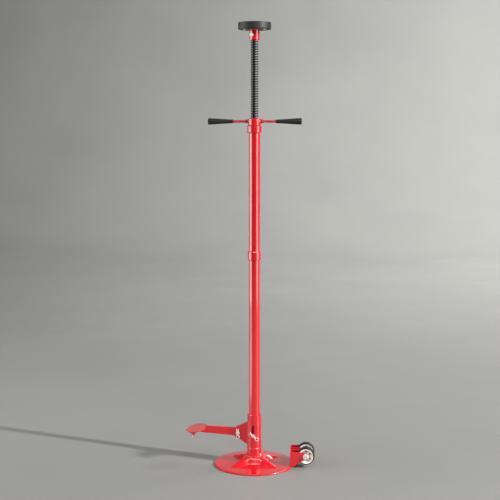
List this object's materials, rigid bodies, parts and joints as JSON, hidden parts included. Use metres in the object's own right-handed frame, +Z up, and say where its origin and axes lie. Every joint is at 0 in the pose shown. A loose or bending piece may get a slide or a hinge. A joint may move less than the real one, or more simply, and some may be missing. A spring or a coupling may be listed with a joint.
{
  "type": "underhoist stand",
  "caption": "Tall screw support stand on a pressed round base, with a foot pedal that lifts the pole, a spin handle, a rubber saddle and tilt-back wheels.",
  "frame": {"origin": "on the column's axis at floor level, at the middle of the foot disc's underside", "axes": "+Z up the column, the pedal towards -X, the lift slots towards -Y and +Y"},
  "size_m": [0.4977, 0.3046, 1.663],
  "materials": {
    "red_paint": "glossy red powder coat",
    "zinc": "bright zinc plate",
    "bearing_steel": "ground bare steel",
    "black_steel": "oiled black oxide",
    "black_rubber": "moulded matte rubber",
    "black_tyre": "smooth black tread",
    "pale_nylon": "moulded off-white nylon"
  },
  "bodies": {
    "base": {"base_plate": "red_paint", "foot_disc": "red_paint", "sleeve_tube": "red_paint", "neck_collar": "red_paint", "pedal_bracket": "red_paint", "pivot_pin": "zinc", "pivot_clip": "zinc", "front_fork": "red_paint", "rear_fork": "red_paint", "axle_bolt": "zinc", "axle_washers": "zinc", "axle_nut": "zinc"},
    "pedal": {"pedal_arm": "red_paint", "foot_plate": "red_paint", "stop_boss": "red_paint", "stop_screw": "zinc"},
    "pole": {"lower_tube": "red_paint", "joint_collar": "red_paint", "upper_tube": "red_paint", "cross_pin": "zinc", "cross_clip": "zinc", "bearing_housing": "red_paint", "key_washer": "bearing_steel", "lower_race": "bearing_steel", "bearing_balls": "bearing_steel", "ball_cage": "bearing_steel"},
    "handle": {"upper_race": "bearing_steel", "spin_nut": "red_paint", "handle_bars": "red_paint", "left_grip": "black_rubber", "right_grip": "black_rubber"},
    "screw": {"lift_screw": "black_steel", "stop_ring": "bearing_steel", "stop_ring_pin": "bearing_steel", "saddle_socket": "red_paint", "set_bolt": "zinc", "saddle_plate": "zinc", "rubber_pad": "black_rubber", "pad_screws": "zinc"},
    "front_wheel": {"front_hub": "pale_nylon", "front_tyre": "black_tyre", "front_bush": "bearing_steel"},
    "rear_wheel": {"rear_hub": "pale_nylon", "rear_tyre": "black_tyre", "rear_bush": "bearing_steel"}
  },
  "joints": [
    {"name": "pole_lift", "type": "slide", "parent": "base", "child": "pole", "axis": [0, 0, 1], "range_m": [0, 0.035]},
    {"name": "pedal_press", "type": "hinge", "parent": "base", "child": "pedal", "pos_m": [-0.062, 0, 0.1205], "axis": [0, -1, 0], "range_deg": [0, 30]},
    {"name": "handle_spin", "type": "hinge", "parent": "pole", "child": "handle", "pos_m": [0, 0, 1.303], "axis": [0, 0, -1], "range_deg": [-11160, 14040]},
    {"name": "screw_travel", "type": "slide", "parent": "pole", "child": "screw", "axis": [0, 0, 1], "range_m": [-0.279, 0.351]},
    {"name": "front_wheel_roll", "type": "hinge", "parent": "base", "child": "front_wheel", "pos_m": [0.19457, 0.03082, 0.045], "axis": [-0.1564, 0.9877, 0], "continuous": true},
    {"name": "rear_wheel_roll", "type": "hinge", "parent": "base", "child": "rear_wheel", "pos_m": [0.19457, 0.03082, 0.045], "axis": [-0.1564, 0.9877, 0], "continuous": true}
  ],
  "couplings": [
    {"joint": "pedal_press", "follows": "pole_lift", "rad_per_m": 14.946},
    {"joint": "screw_travel", "follows": "handle_spin", "m_per_rad": 0.0014323}
  ]
}
